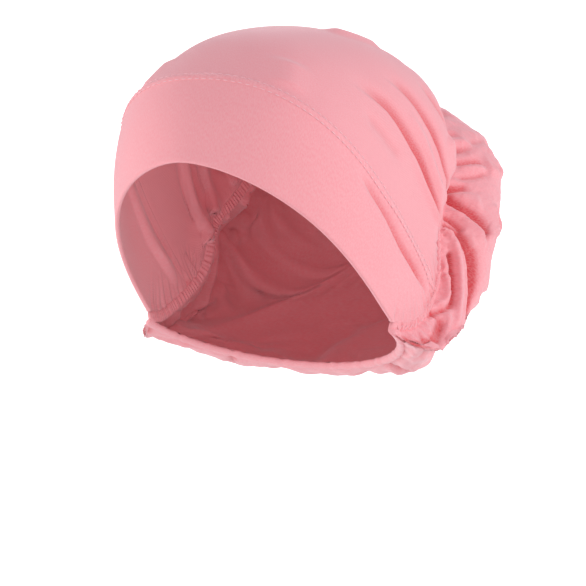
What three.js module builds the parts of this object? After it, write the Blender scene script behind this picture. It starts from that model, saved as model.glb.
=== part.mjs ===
// Jersey underscarf cap in its worn shape. A wide folded band crosses the forehead and ends at the ears, a
// crown of thin jersey is stretched over the head, and a shirred elastic runs from one ear over the back of the
// head to the other. A full gathered pouch hangs from that elastic down to the nape. Millimetres, +Z up, the face
// looks along -Y. The origin is where the top of the head bears against the inside of the crown.
import * as THREE from "three";

// Reach of the cap from the middle of the head at eye height
const headHalfWidth = 76;
const foreheadReach = 95;
const crownRise = 113;
const gatherReach = 106;
const cornerDrop = 40; // the band's lower corner, behind the ear lobe
const pouchReach = 154;
const pouchHalfWidth = 100;
const pouchHalfHeight = 74;
const napeReach = 56;
const napeDrop = 67;
const pouchBackHeight = 4;
// How far the pouch stands off its mouth before it turns back
const pouchRise = { ear: 58, side: 98, back: 66, nape: 46 };
const pouchTopHalf = 50; // it stands off least over the middle of the back, and most from here outwards
const pouchSide = { low: -20, high: 60 }; // heights between which it opens out from the ears
const pouchRoundness = 0.58; // how wide the pouch still is just before the middle of its back

// Cloth
const bandWall = 2.2; // two layers, folded at the front edge
const jerseyWall = 1.2;
const hemWall = 2.2; // the pouch's turned edge at the nape
const bandEndWidth = 51.5; // the band's end, where it is sewn to the elastic
const bandSwell = 2.5; // how far the band bows out between its edges
const crownTipWidth = 9; // the crown's narrow end beside the band's end
const seamWidth = 5; // between the two rows of stitches
const seamWall = 2.8;
const elasticWidth = 5;
const elasticWall = 3;
const puckerShare = 0.16; // how much each pucker swells the elastic
const creaseDepth = 5; // the elastic draws the cloth in by this much
const creaseWidth = 9;
const sewingGap = 0.4; // free space between neighbouring pieces
const elasticSteps = 72;

// Folds
const crownFoldDepth = 3;
const crownFoldWidth = 6.5;
const pouchFoldDepth = 5;
const pouchFoldWidth = 8.5;
const pouchPuckers = 16;
const puckerDepth = 2;

// Arches over the head, front to back. mid is the arch's top, in shares of foreheadReach and crownRise. belly
// widens its haunches, in shares of headHalfWidth, and full keeps it high before it drops.
const archRows = {
  edge: { midY: -1.0, midZ: 0.398, belly: 0.037, full: 0.93 },
  seam: { midY: -0.805, midZ: 0.754, belly: 0.072, full: 1.24 },
  crown: [
    { midY: -0.46, midZ: 0.925, belly: 0.065, full: 1.14 },
    { midY: -0.05, midZ: 0.99, belly: 0.075, full: 1.15 },
    { midY: 0.42, midZ: 0.99, belly: 0.105, full: 1.2 },
    { midY: 0.9, midZ: 0.89, belly: 0.125, full: 1.2 },
  ],
};

// The elastic's line from the left ear corner up to the middle of the back, in shares of headHalfWidth,
// gatherReach, and crownRise above the eyes or cornerDrop below them.
const gatherRows = [
  { x: 0.92, y: -0.036, z: -0.93 },
  { x: 0.965, y: 0.153, z: -0.935 },
  { x: 0.97, y: 0.515, z: -0.45 },
  { x: 0.95, y: 0.6, z: 0.08 },
  { x: 0.89, y: 0.74, z: 0.19 },
  { x: 0.78, y: 0.92, z: 0.38 },
  { x: 0.59, y: 1.0, z: 0.55 },
  { x: 0.32, y: 1.03, z: 0.65 },
  { x: 0, y: 1.04, z: 0.68 },
];

// Soft folds of the left side, repeated on the right. A path runs down to the elastic as [turn, back]: turn is 1
// at the left ear and 0 at the middle, back is -1 at the band's front edge, 0 at the seam and 1 at the elastic.
// Depth and width are shares of crownFoldDepth and crownFoldWidth.
const crownFoldRows = [
  { from: [0.62, -0.15], via: [0.8, -0.23], to: [0.98, -0.15], depth: 0.9, width: 0.75 },
  { from: [0.54, 0.21], via: [0.63, 0.24], to: [0.72, 0.32], depth: 0.4, width: 0.8 },
  { from: [0.45, 0.27], via: [0.67, 0.42], to: [0.87, 0.7], depth: 1.2, width: 1.0 },
  { from: [0.46, 0.44], via: [0.65, 0.62], to: [0.78, 0.82], depth: 1.0, width: 0.9 },
  { from: [0.44, 0.65], via: [0.54, 0.71], to: [0.62, 0.88], depth: 0.7, width: 0.8 },
  { from: [0.14, 0.6], via: [0.22, 0.78], to: [0.27, 0.95], depth: 0.5, width: 1.0 },
];

// Folds of the pouch's left side, repeated on its right, as [around, out]: around is 0 at the left ear corner
// and 1 at the right one, out is 0 at the elastic and 1 at the middle of the pouch's back.
const pouchFoldRows = [
  { from: [0.38, 0.02], via: [0.375, 0.14], to: [0.36, 0.34], depth: 0.8, width: 0.9 },
  { from: [0.34, 0.04], via: [0.337, 0.16], to: [0.333, 0.32], depth: 0.8, width: 0.8 },
  { from: [0.3, 0.02], via: [0.298, 0.08], to: [0.3, 0.15], depth: 0.7, width: 0.7 },
  { from: [0.272, 0.02], via: [0.256, 0.14], to: [0.2, 0.29], depth: 1.2, width: 1.0 },
  { from: [0.215, 0.05], via: [0.175, 0.13], to: [0.11, 0.19], depth: 1.2, width: 0.9 },
  { from: [0.17, 0.04], via: [0.12, 0.07], to: [0.06, 0.06], depth: 0.8, width: 0.7 },
  { from: [0.03, 0.02], via: [0.0, 0.09], to: [-0.03, 0.24], depth: 0.9, width: 0.8 },
  { from: [-0.04, 0.02], via: [-0.06, 0.12], to: [-0.08, 0.3], depth: 0.9, width: 0.9 },
  { from: [0.14, 0.3], via: [0.12, 0.42], to: [0.06, 0.52], depth: 0.8, width: 1.3 },
  { from: [0.28, 0.4], via: [0.25, 0.52], to: [0.16, 0.64], depth: 0.9, width: 1.5 },
  { from: [0.44, 0.03], via: [0.43, 0.2], to: [0.38, 0.45], depth: 1.0, width: 1.2 },
];

// Grid of each piece of cloth
const bandRows = 4;
const crownRows = 12;
const archColumns = 56;
const gatherColumns = 64;
const napeColumns = 18;
const pouchRings = 17;

const mix = THREE.MathUtils.lerp;
const fade = THREE.MathUtils.smoothstep;
const evenly = (count, from, to) => Array.from({ length: count + 1 }, (_, i) => mix(from, to, i / count));

// Outward direction of the cloth where it lies against the head
const headNormal = (p) =>
  new THREE.Vector3(p.x / headHalfWidth ** 2, p.y / gatherReach ** 2, p.z / crownRise ** 2).normalize();

const gatherPlace = (row, side) => {
  const height = row.z > 0 ? crownRise : cornerDrop;
  return new THREE.Vector3(side * row.x * headHalfWidth, row.y * gatherReach, row.z * height);
};
const gatherLine = new THREE.CatmullRomCurve3([
  ...gatherRows.map((row) => gatherPlace(row, 1)),
  ...gatherRows.slice(0, -1).reverse().map((row) => gatherPlace(row, -1)),
]);
gatherLine.arcLengthDivisions = 800;
const gatherLength = gatherLine.getLength();
const gatherAt = (distance) => gatherLine.getPointAt(distance / gatherLength);

// One arch: turn is -1 at the right end, 0 over the middle of the head and 1 at the left end.
function archPoint(row, turn, endDistance) {
  const end = gatherAt(endDistance);
  const angle = (Math.abs(turn) * Math.PI) / 2;
  const drop = (1 - Math.cos(angle)) ** row.full;
  const half = end.x * Math.sin(angle) + row.belly * headHalfWidth * Math.sin(2 * angle) ** 2;
  return new THREE.Vector3(
    Math.sign(turn) * half,
    mix(row.midY * foreheadReach, end.y, drop),
    mix(row.midZ * crownRise, end.z, drop),
  );
}

const edgePoint = (turn) => archPoint(archRows.edge, turn, 0);
const seamPoint = (turn) => archPoint(archRows.seam, turn, bandEndWidth);

// A line up the band from the front edge to the seam. The band's two ends follow the elastic.
function bandLine(turn) {
  const atEnd = fade(Math.abs(turn), 0.75, 1);
  const low = edgePoint(turn);
  const high = seamPoint(turn);
  const side = new THREE.Vector3(turn < 0 ? -1 : 1, 1, 1);
  const chord = new THREE.Line3(gatherAt(0), gatherAt(bandEndWidth));
  return new THREE.CatmullRomCurve3(
    evenly(8, 0, 1).map((up) => {
      const p = low.clone().lerp(high, up);
      const bow = gatherAt(up * bandEndWidth).sub(chord.at(up, new THREE.Vector3())).multiply(side);
      p.addScaledVector(headNormal(p), bandSwell * Math.sin(Math.PI * up) * (1 - atEnd));
      return p.addScaledVector(bow, atEnd);
    }),
  );
}

// A line over the crown from the seam to the elastic
function crownLine(turn) {
  const step = crownTipWidth / (archRows.crown.length + 1);
  const between = archRows.crown.map((row, i) => archPoint(row, turn, bandEndWidth + (i + 1) * step));
  const tip = (bandEndWidth + crownTipWidth) / gatherLength;
  const rear = gatherLine.getPointAt(mix(tip, 1 - tip, (1 - turn) / 2));
  return new THREE.CatmullRomCurve3([seamPoint(turn), ...between, rear]);
}

// The elastic draws the cloth in along its line, less beside the ears.
const gatherSamples = evenly(160, 0, 1).map((u) => gatherLine.getPointAt(u));
const creaseAt = (share) => creaseDepth * mix(0.3, 1, fade(Math.min(share, 1 - share), 0, 0.12));

// The nearest place on a sampled path: its distance from p and its share of the path's length
function nearestOn(path, p) {
  const foot = new THREE.Vector3();
  let best = { distance: Infinity, share: 0 };
  for (let i = 0; i + 1 < path.length; i++) {
    const line = new THREE.Line3(path[i], path[i + 1]);
    const along = line.closestPointToPointParameter(p, true);
    const distance = line.at(along, foot).distanceTo(p);
    if (distance < best.distance) best = { distance, share: (i + along) / (path.length - 1) };
  }
  return best;
}

// Height of the cloth at a distance from a fold's deepest line: a valley with a soft ridge on either side
const foldProfile = (x) => -(1 - x * x) * Math.exp((-x * x) / 2);

function foldHeight(folds, p) {
  let height = 0;
  for (const fold of folds) {
    const { distance, share } = nearestOn(fold.path, p);
    if (distance > 4 * fold.width) continue;
    const strength = fade(share, 0, 0.35) * fade(1 - share, -0.3, 0.1);
    height += fold.depth * strength * foldProfile(distance / fold.width);
  }
  return height;
}

const foldPath = (row, at) => {
  const stops = [row.from, row.via, row.to].map(([across, along]) => new THREE.Vector2(across, along));
  return new THREE.SplineCurve(stops).getPoints(14).map((c) => at(c.x, c.y));
};

const hoodPlace = (turn, back) =>
  back < 0 ? bandLine(turn).getPointAt(1 + back) : crownLine(turn).getPointAt(back);

const crownFolds = crownFoldRows.flatMap((row) =>
  [1, -1].map((side) => ({
    path: foldPath(row, (turn, back) => hoodPlace(side * turn, back)),
    depth: row.depth * crownFoldDepth,
    width: row.width * crownFoldWidth,
  })),
);

// Settles a point of the band, seam or crown into its folds and into the elastic's crease
function settle(p) {
  const { distance, share } = nearestOn(gatherSamples, p);
  const crease = -creaseAt(share) * Math.exp(-((distance / creaseWidth) ** 2));
  return p.clone().addScaledVector(headNormal(p), crease + foldHeight(crownFolds, p));
}

const columns = evenly(archColumns, 1, -1).map((turn) => ({ band: bandLine(turn), crown: crownLine(turn) }));
const upBand = (column, below) => column.band.getPointAt(1 - below / column.band.getLength());
const overCrown = (column, above) => column.crown.getPointAt(above / column.crown.getLength());
const clearance = seamWidth / 2 + sewingGap;

const bandGrid = evenly(bandRows, 1, 0).map((down) =>
  columns.map((column) => settle(upBand(column, mix(clearance, column.band.getLength(), down)))),
);
const crownGrid = evenly(crownRows, 0, 1).map((back) =>
  columns.map((column) => settle(overCrown(column, mix(clearance, column.crown.getLength(), back)))),
);

// Outward normal of each grid point, from its neighbours along and across. rimNormal gives it at the sewn edges,
// so that neighbouring pieces stay parallel there.
function gridNormals(grid, { closed = false, rimNormal = null } = {}) {
  const last = grid[0].length - 1;
  const column = (j) => (closed ? (j + last + 1) % (last + 1) : THREE.MathUtils.clamp(j, 0, last));
  return grid.map((row, i) =>
    row.map((p, j) => {
      const atRim = i === 0 || i === grid.length - 1 || j === 0 || j === last;
      if (rimNormal && atRim) return rimNormal(p);
      const along = row[column(j + 1)].clone().sub(row[column(j - 1)]);
      const above = grid[Math.min(i + 1, grid.length - 1)][j];
      const across = above.clone().sub(grid[Math.max(i - 1, 0)][j]);
      return along.cross(across).normalize();
    }),
  );
}

// A closed body of the given wall around a grid. closed joins the last column to the first, and pole closes the
// bag behind the last row.
function shell(grid, wallAt, { closed = false, pole = null, rimNormal = null } = {}) {
  const normals = gridNormals(grid, { closed, rimNormal });
  const count = grid[0].length;
  const positions = [];
  const index = [];
  for (const side of [0.5, -0.5]) {
    grid.forEach((row, i) =>
      row.forEach((p, j) => positions.push(p.clone().addScaledVector(normals[i][j], side * wallAt(i, j)))),
    );
  }
  const layer = grid.length * count;
  const at = (side, i, j) => side * layer + i * count + (j % count);
  const quad = (a, b, c, d) => index.push(a, b, c, a, c, d);
  const steps = closed ? count : count - 1;
  for (let j = 0; j < steps; j++) {
    for (let i = 0; i + 1 < grid.length; i++) {
      quad(at(0, i, j), at(0, i, j + 1), at(0, i + 1, j + 1), at(0, i + 1, j));
      quad(at(1, i, j), at(1, i + 1, j), at(1, i + 1, j + 1), at(1, i, j + 1));
    }
    quad(at(1, 0, j), at(1, 0, j + 1), at(0, 0, j + 1), at(0, 0, j));
    const end = grid.length - 1;
    if (!pole) quad(at(0, end, j), at(0, end, j + 1), at(1, end, j + 1), at(1, end, j));
  }
  if (!closed) {
    for (let i = 0; i + 1 < grid.length; i++) {
      quad(at(0, i, 0), at(0, i + 1, 0), at(1, i + 1, 0), at(1, i, 0));
      quad(at(1, i, count - 1), at(1, i + 1, count - 1), at(0, i + 1, count - 1), at(0, i, count - 1));
    }
  }
  if (pole) {
    const end = grid.length - 1;
    const tip = positions.length;
    const lift = pole.normal.clone().multiplyScalar(wallAt(end, 0) / 2);
    positions.push(pole.point.clone().add(lift), pole.point.clone().sub(lift));
    for (let j = 0; j < count; j++) {
      index.push(at(0, end, j), at(0, end, j + 1), tip);
      index.push(at(1, end, j + 1), at(1, end, j), tip + 1);
    }
  }
  return body(positions, index);
}

function body(positions, index) {
  const geometry = new THREE.BufferGeometry().setFromPoints(positions);
  geometry.setIndex(index);
  geometry.computeVertexNormals();
  return geometry;
}

// A closed body swept through outlines of equal length, one after the other
function sweep(outlines) {
  const count = outlines[0].length;
  const positions = outlines.flat();
  const index = [];
  for (let i = 0; i + 1 < outlines.length; i++) {
    for (let j = 0; j < count; j++) {
      const a = i * count + j;
      const b = i * count + ((j + 1) % count);
      index.push(a, b, b + count, a, b + count, a + count);
    }
  }
  const first = (outlines.length - 1) * count;
  for (let j = 1; j + 1 < count; j++) {
    index.push(0, j + 1, j);
    index.push(first, first + j, first + j + 1);
  }
  return body(positions, index);
}

// The raised strip over the seam, between the two rows of stitches
function seamGeometry() {
  const outlines = columns.map((column) => {
    const low = settle(upBand(column, seamWidth / 2));
    const high = settle(overCrown(column, seamWidth / 2));
    const lift = headNormal(low.clone().lerp(high, 0.5)).multiplyScalar(seamWall / 2);
    return [low.clone().add(lift), high.clone().add(lift), high.clone().sub(lift), low.clone().sub(lift)];
  });
  return sweep(outlines);
}

// Place and directions at a share of the elastic's line: back leads away from the crown, out off the head
function gatherFrame(share) {
  const p = gatherLine.getPointAt(share);
  const out = headNormal(p);
  const back = gatherLine.getTangentAt(share).cross(out).normalize();
  return { p: p.addScaledVector(out, -creaseAt(share)), back, out };
}

function elasticGeometry() {
  const half = elasticWidth / 2;
  const rise = elasticWall / 2;
  const corner = 0.35 * elasticWall;
  const outline = [
    [half - corner, -rise], [corner - half, -rise], [-half, corner - rise], [-half, rise - corner],
    [corner - half, rise], [half - corner, rise], [half, rise - corner], [half, corner - rise],
  ];
  const outlines = evenly(elasticSteps, 0, 1).map((share, i) => {
    const { p, back, out } = gatherFrame(share);
    const middle = p.addScaledVector(back, sewingGap + half);
    const swell = 1 + (i % 2 ? puckerShare : -puckerShare);
    return outline.map(([x, y]) => middle.clone().addScaledVector(back, x).addScaledVector(out, y * swell));
  });
  return sweep(outlines);
}

// The pouch's mouth: behind the elastic from ear to ear, then low round the nape. leave leads to where the cloth
// turns back.
function pouchMouth() {
  const behind = 2 * sewingGap + elasticWidth + jerseyWall;
  const arch = evenly(gatherColumns, 0, 1).map((share) => {
    const { p, back, out } = gatherFrame(share);
    p.addScaledVector(back, behind);
    const top = mix(pouchRise.back, pouchRise.side, fade(Math.abs(p.x), 0, pouchTopHalf));
    const rise = mix(pouchRise.ear, top, fade(p.z, pouchSide.low, pouchSide.high));
    return { p, leave: back.multiplyScalar(0.4 * rise).addScaledVector(out, 0.92 * rise) };
  });
  const corner = arch[0].p;
  const nape = evenly(napeColumns, -1, 1).slice(1, -1).map((turn) => {
    const angle = (turn * Math.PI) / 2;
    const rise = 1 - Math.cos(angle);
    return {
      p: new THREE.Vector3(
        corner.x * Math.sin(angle),
        mix(napeReach, corner.y, rise),
        mix(-napeDrop, corner.z, rise),
      ),
      leave: new THREE.Vector3(0.6 * Math.sin(angle), 0.5, -0.62).multiplyScalar(pouchRise.nape),
    };
  });
  const loop = [...arch, ...nape];
  const count = loop.length;
  for (let pass = 0; pass < 5; pass++) {
    const smooth = loop.map(({ leave }, j) => {
      const [before, after] = [loop[(j + count - 1) % count], loop[(j + 1) % count]];
      return leave.clone().add(before.leave).add(after.leave).divideScalar(3);
    });
    smooth.forEach((leave, j) => (loop[j].leave = leave));
  }
  return loop;
}

const pouchBack = new THREE.Vector3(0, pouchReach, pouchBackHeight);

function pouchLine({ p, leave }) {
  const radial = new THREE.Vector3(p.x, 0, p.z - pouchBack.z).normalize();
  const spread = Math.hypot(radial.x * pouchHalfWidth, radial.z * pouchHalfHeight);
  return new THREE.CubicBezierCurve3(
    p,
    p.clone().add(leave),
    pouchBack.clone().addScaledVector(radial, pouchRoundness * spread),
    pouchBack,
  );
}

const pouchLines = pouchMouth().map(pouchLine);
const ringPlaces = evenly(pouchRings, 0, 1).map((share) => share ** 1.35).slice(0, -1);
const pouchBase = ringPlaces.map((out) => pouchLines.map((line) => line.getPointAt(out)));

const pouchFolds = pouchFoldRows.flatMap((row) =>
  [1, -1].map((side) => ({
    path: foldPath(row, (around, out) => {
      const column = (side > 0 ? around : 1 - around) * gatherColumns;
      const line = THREE.MathUtils.euclideanModulo(Math.floor(column), pouchLines.length);
      const next = pouchLines[(line + 1) % pouchLines.length];
      return pouchLines[line].getPointAt(out).lerp(next.getPointAt(out), column - Math.floor(column));
    }),
    depth: row.depth * pouchFoldDepth,
    width: row.width * pouchFoldWidth,
  })),
);

function pouchGeometry() {
  const normals = gridNormals(pouchBase, { closed: true });
  const grid = pouchBase.map((row, i) =>
    row.map((p, j) => {
      const fromMouth = ringPlaces[i];
      const ripple = j < gatherColumns ? Math.sin((2 * Math.PI * j * pouchPuckers) / gatherColumns) : 0;
      const pucker = puckerDepth * ripple * Math.exp(-fromMouth / 0.16) * fade(fromMouth, -0.05, 0.08);
      return p.clone().addScaledVector(normals[i][j], pucker + foldHeight(pouchFolds, p));
    }),
  );
  const wallAt = (i, j) => (i === 0 && j > gatherColumns ? hemWall : jerseyWall);
  const pole = { point: pouchBack, normal: new THREE.Vector3(0, 1, 0) };
  return shell(grid, wallAt, { closed: true, pole });
}

const jerseyPink = "#eba3b0";
const group = new THREE.Group();
group.name = "underscarf_cap";

function add(name, geometry, color = jerseyPink) {
  const material = new THREE.MeshStandardMaterial({ color, roughness: 0.95, metalness: 0 });
  material.name = `${name}_jersey`;
  const mesh = new THREE.Mesh(geometry, material);
  mesh.name = name;
  geometry.translate(0, 0, jerseyWall / 2 - crownRise);
  group.add(mesh);
}

add("front_band", shell(bandGrid, () => bandWall, { rimNormal: headNormal }));
add("band_seam", seamGeometry());
add("crown_panel", shell(crownGrid, () => jerseyWall, { rimNormal: headNormal }));
add("gather_elastic", elasticGeometry());
add("back_pouch", pouchGeometry());

export default group;
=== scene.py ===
# Jersey underscarf cap in its worn shape. Band, seam, crown, elastic and pouch replace the frame's plain solids, and
# stitches, hem and inner faces are added. Metres, the wearer faces -Y, the origin is where the top of the head bears
# against the crown.
import math

import bmesh
import bpy
import numpy as np
from mathutils import Matrix, Vector, kdtree


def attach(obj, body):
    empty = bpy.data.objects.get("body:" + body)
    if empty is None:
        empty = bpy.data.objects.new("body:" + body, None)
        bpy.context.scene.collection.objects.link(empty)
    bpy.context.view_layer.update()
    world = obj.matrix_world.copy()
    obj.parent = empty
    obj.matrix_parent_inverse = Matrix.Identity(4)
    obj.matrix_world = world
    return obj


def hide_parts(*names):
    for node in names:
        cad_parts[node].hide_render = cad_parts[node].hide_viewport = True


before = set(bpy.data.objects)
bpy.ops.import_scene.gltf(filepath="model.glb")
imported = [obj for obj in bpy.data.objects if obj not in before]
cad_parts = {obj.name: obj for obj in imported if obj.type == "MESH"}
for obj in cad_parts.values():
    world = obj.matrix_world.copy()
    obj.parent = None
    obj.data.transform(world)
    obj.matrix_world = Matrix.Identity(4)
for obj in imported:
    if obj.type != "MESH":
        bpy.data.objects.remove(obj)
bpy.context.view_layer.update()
print("frame loaded")


# Camera, where the photograph was taken from
photo = {"azimuth": 27.0, "elevation": 3.0, "distance": 1.3, "lens": 154.1, "aimAcross": 0.0119, "aimDown": 0.0254}


def direction(azimuth, elevation=0.0):
    turn, rise = math.radians(azimuth), math.radians(elevation)
    return Vector((math.sin(turn) * math.cos(rise), -math.cos(turn) * math.cos(rise), math.sin(rise)))


def makeCamera():
    back = direction(photo["azimuth"], photo["elevation"])
    turn = math.radians(photo["azimuth"])
    right = Vector((math.cos(turn), math.sin(turn), 0))
    up = back.cross(right)
    camera = bpy.data.objects.new("camera", bpy.data.cameras.new("camera"))
    camera.data.lens = photo["lens"]
    camera.data.sensor_width = 36
    eyes = Vector((0, 0, -cap["crownRise"] + cap["jerseyWall"] / 2))
    camera.location = eyes + back * photo["distance"]
    aim = right * photo["aimAcross"] - up * photo["aimDown"] - back * photo["distance"]
    camera.rotation_euler = aim.to_track_quat("-Z", "Y").to_euler()
    bpy.context.collection.objects.link(camera)
    bpy.context.scene.camera = camera


# The shape that the pieces share: reaches from the middle of the head at eye height, and sewing sizes
cap = {
    "headHalfWidth": 0.076,
    "foreheadReach": 0.095,
    "crownRise": 0.113,
    "gatherReach": 0.106,
    "cornerDrop": 0.040,
    "bandWall": 0.0022,
    "jerseyWall": 0.0012,
    "bandEndWidth": 0.0515,
    "bandSwell": 0.0025,
    "crownTipWidth": 0.009,
    "seamWidth": 0.005,
    "seamWall": 0.0028,
    "elasticWidth": 0.005,
    "elasticWall": 0.003,
    "creaseDepth": 0.005,
    "creaseWidth": 0.009,
    "sewingGap": 0.0004,
}

# Arches over the head, front to back, as shares of the reaches
edgeArch = {"midY": -1.0, "midZ": 0.398, "belly": 0.037, "full": 0.93}
seamArch = {"midY": -0.805, "midZ": 0.754, "belly": 0.072, "full": 1.24}
crownArches = [
    {"midY": -0.46, "midZ": 0.925, "belly": 0.065, "full": 1.14},
    {"midY": -0.05, "midZ": 0.99, "belly": 0.075, "full": 1.15},
    {"midY": 0.42, "midZ": 0.99, "belly": 0.105, "full": 1.2},
    {"midY": 0.9, "midZ": 0.89, "belly": 0.125, "full": 1.2},
]

# The elastic's line from the left ear corner up to the middle of the back
gatherRows = [
    {"x": 0.92, "y": -0.036, "z": -0.93},
    {"x": 0.965, "y": 0.153, "z": -0.935},
    {"x": 0.97, "y": 0.515, "z": -0.45},
    {"x": 0.95, "y": 0.6, "z": 0.08},
    {"x": 0.89, "y": 0.74, "z": 0.19},
    {"x": 0.78, "y": 0.92, "z": 0.38},
    {"x": 0.59, "y": 1.0, "z": 0.55},
    {"x": 0.32, "y": 1.03, "z": 0.65},
    {"x": 0, "y": 1.04, "z": 0.68},
]


def mix(a, b, share):
    return a + (b - a) * share


def fade(value, low, high):
    share = np.clip((value - low) / (high - low), 0, 1)
    return share * share * (3 - 2 * share)


def unit(vectors):
    return vectors / np.maximum(np.linalg.norm(vectors, axis=-1, keepdims=True), 1e-12)


# A smooth curve through points, as close samples with their distances along it
def curveThrough(points, steps=24):
    p = np.asarray(points, float)
    p = np.vstack([2 * p[0] - p[1], p, 2 * p[-1] - p[-2]])
    samples = []
    for p0, p1, p2, p3 in zip(p, p[1:], p[2:], p[3:]):
        d0, d1, d2 = (max(np.linalg.norm(b - a), 1e-9) ** 0.5 for a, b in ((p0, p1), (p1, p2), (p2, p3)))
        t1 = ((p1 - p0) / d0 - (p2 - p0) / (d0 + d1) + (p2 - p1) / d1) * d1
        t2 = ((p2 - p1) / d1 - (p3 - p1) / (d1 + d2) + (p3 - p2) / d2) * d1
        t = np.linspace(0, 1, steps, endpoint=False)[:, None]
        samples.append(
            p1 + t1 * t + (-3 * p1 + 3 * p2 - 2 * t1 - t2) * t**2 + (2 * p1 - 2 * p2 + t1 + t2) * t**3
        )
    samples = np.vstack([*samples, p[-2]])
    return samples, np.concatenate([[0], np.cumsum(np.linalg.norm(np.diff(samples, axis=0), axis=1))])


def curveAt(curve, distances):
    samples, reach = curve
    return np.stack([np.interp(distances, reach, samples[:, i]) for i in range(samples.shape[1])], -1)


def gatherPlaces(side):
    for row in gatherRows:
        height = cap["crownRise"] if row["z"] > 0 else cap["cornerDrop"]
        yield [side * row["x"] * cap["headHalfWidth"], row["y"] * cap["gatherReach"], row["z"] * height]


gatherCurve = curveThrough([*gatherPlaces(1), *list(gatherPlaces(-1))[-2::-1]], 40)
gatherLength = gatherCurve[1][-1]
gatherSamples = curveAt(gatherCurve, np.linspace(0, gatherLength, 240))


# Outward direction of the cloth where it lies against the head
def headNormal(p):
    return unit(p / np.array([cap["headHalfWidth"], cap["gatherReach"], cap["crownRise"]]) ** 2)


def archPoint(row, turn, endDistance):
    end = curveAt(gatherCurve, endDistance)
    angle = abs(turn) * math.pi / 2
    drop = (1 - math.cos(angle)) ** row["full"]
    half = end[0] * math.sin(angle) + row["belly"] * cap["headHalfWidth"] * math.sin(2 * angle) ** 2
    return np.array([
        math.copysign(half, turn),
        mix(row["midY"] * cap["foreheadReach"], end[1], drop),
        mix(row["midZ"] * cap["crownRise"], end[2], drop),
    ])


# A line up the band from its front edge to the seam. The band's two ends follow the elastic.
def bandLine(turn):
    atEnd = float(fade(abs(turn), 0.75, 1))
    low, high = archPoint(edgeArch, turn, 0), archPoint(seamArch, turn, cap["bandEndWidth"])
    up = np.linspace(0, 1, 9)[:, None]
    ends = curveAt(gatherCurve, up[:, 0] * cap["bandEndWidth"])
    bow = (ends - mix(ends[0], ends[-1], up)) * np.array([-1 if turn < 0 else 1, 1, 1])
    p = mix(low, high, up)
    p = p + headNormal(p) * cap["bandSwell"] * np.sin(math.pi * up) * (1 - atEnd)
    return curveThrough(p + bow * atEnd, 8)


# A line over the crown from the seam to the elastic
def crownLine(turn):
    step = cap["crownTipWidth"] / (len(crownArches) + 1)
    between = [
        archPoint(row, turn, cap["bandEndWidth"] + (i + 1) * step) for i, row in enumerate(crownArches)
    ]
    tip = cap["bandEndWidth"] + cap["crownTipWidth"]
    rear = curveAt(gatherCurve, mix(tip, gatherLength - tip, (1 - turn) / 2))
    return curveThrough([archPoint(seamArch, turn, cap["bandEndWidth"]), *between, rear])


# Distance of every point from a path of close samples, the share of the path where it is nearest, and on which side
# of it the point lies, seen from outside
def nearestOn(path, p):
    best, share, side = (np.full(p.shape[:-1], value) for value in (1e9, 0.0, 1.0))
    for i, (a, b) in enumerate(zip(path, path[1:])):
        step = b - a
        t = np.clip(((p - a) @ step) / max(step @ step, 1e-15), 0, 1)
        away = p - a - t[..., None] * step
        d = np.linalg.norm(away, axis=-1)
        near = d < best
        best, share = np.where(near, d, best), np.where(near, (i + t) / (len(path) - 1), share)
        side = np.where(near, np.cross(step, away) @ (a + b), side)
    return best, share, np.sign(side)


# Height of the cloth over its folds, in metres. A row's lift and width are in millimetres at the path's two ends: a
# negative lift is a valley, a positive one a ridge. soft is the share of the path over which each end fades. lean makes
# one side of the fold steeper than the other.
foldShape = {"soft": (0.25, 0.25), "leanTurn": 0.0006, "leanShare": 0.6, "shoulder": 0.25, "reach": 5}


def foldHeight(folds, p):
    flat, height = p.reshape(-1, 3), np.zeros(p.size // 3)
    for path, row, mirrored in folds:
        lift, width = np.array(row["lift"]) / 1000, np.array(row["width"]) / 1000
        reach = foldShape["reach"] * width.max()
        near = np.all((flat > path.min(0) - reach) & (flat < path.max(0) + reach), axis=1)
        distance, share, side = nearestOn(path, flat[near])
        lean = row.get("lean", 0) * np.tanh(side * mirrored * distance / foldShape["leanTurn"])
        x = distance / (mix(width[0], width[1], share) * (1 + foldShape["leanShare"] * lean))
        start, end = row.get("soft", foldShape["soft"])
        ends = fade(share, 0, start) * fade(1 - share, 0, end)
        profile = (1 - foldShape["shoulder"] * x**2) * np.exp(-(x**2) / 2)
        height[near] += mix(lift[0], lift[1], share) * ends * profile
    return height.reshape(p.shape[:-1])


def creaseAt(share):
    return cap["creaseDepth"] * mix(-0.1, 1, fade(np.minimum(share, 1 - share), 0.05, 0.22))


# Sum of a few seeded waves, about from -1 to 1
def ripple(value, pitch, seed):
    waves = np.random.default_rng(seed)
    total = np.zeros(np.shape(value))
    for _ in range(6):
        total += np.sin(2 * math.pi * value / (pitch * waves.uniform(0.65, 1.5)) + waves.uniform(0, 6.28))
    return total / 3


def pathPoints(row, at):
    stops = curveThrough(row["path"], 8)
    return [at(*stop) for stop in curveAt(stops, np.linspace(0, stops[1][-1], 22))]


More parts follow.
